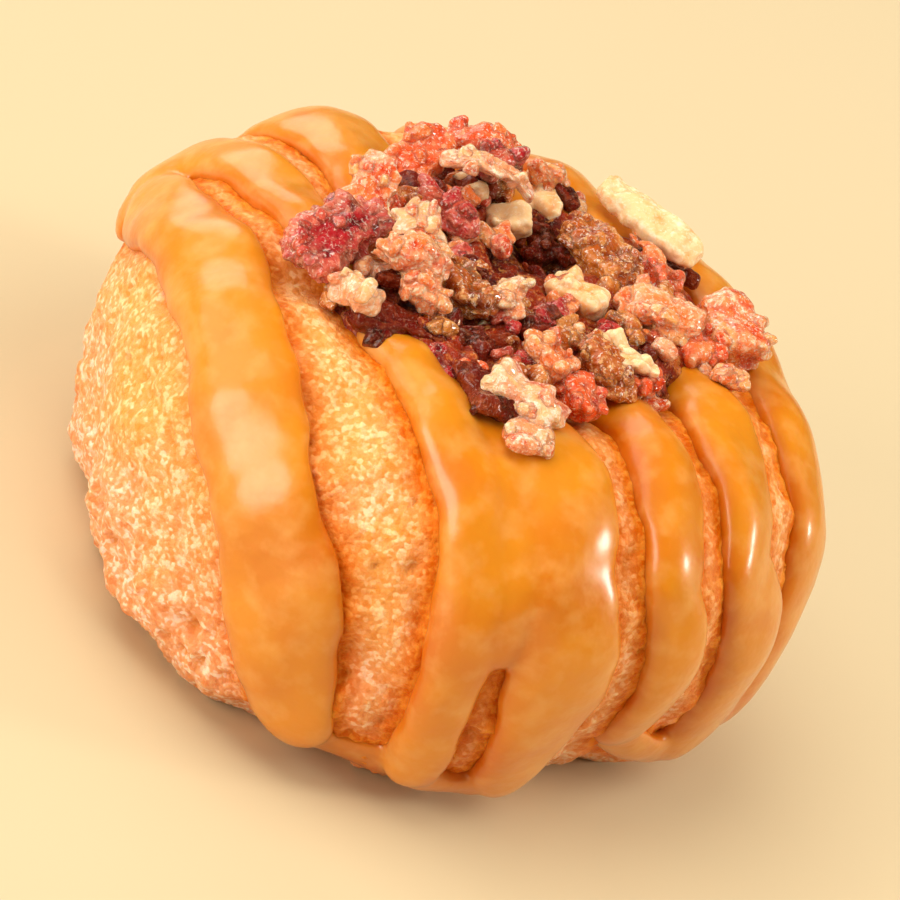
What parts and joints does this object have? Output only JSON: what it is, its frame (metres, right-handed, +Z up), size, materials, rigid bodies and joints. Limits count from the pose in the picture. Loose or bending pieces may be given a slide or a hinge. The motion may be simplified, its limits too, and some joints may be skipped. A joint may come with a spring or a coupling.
{
  "type": "maple bacon doughnut",
  "caption": "Small ring doughnut with thick maple icing laid to and fro across it and a heap of crisp bacon bits over its hole.",
  "frame": {"origin": "on the surface the doughnut stands on, under the middle of its outline", "axes": "+Z up along the hole, the icing passes run at 42 degrees from -Y towards +X"},
  "size_m": [0.0501, 0.0498, 0.0294],
  "materials": {
    "cake_and_icing": "glossy maple icing over a pebbly golden cake crust",
    "bacon": "crisp fried bacon, greasy lean and pale fat"
  },
  "bodies": {
    "root": {"iced_ring": "cake_and_icing", "bacon_heap": "bacon"}
  },
  "joints": []
}
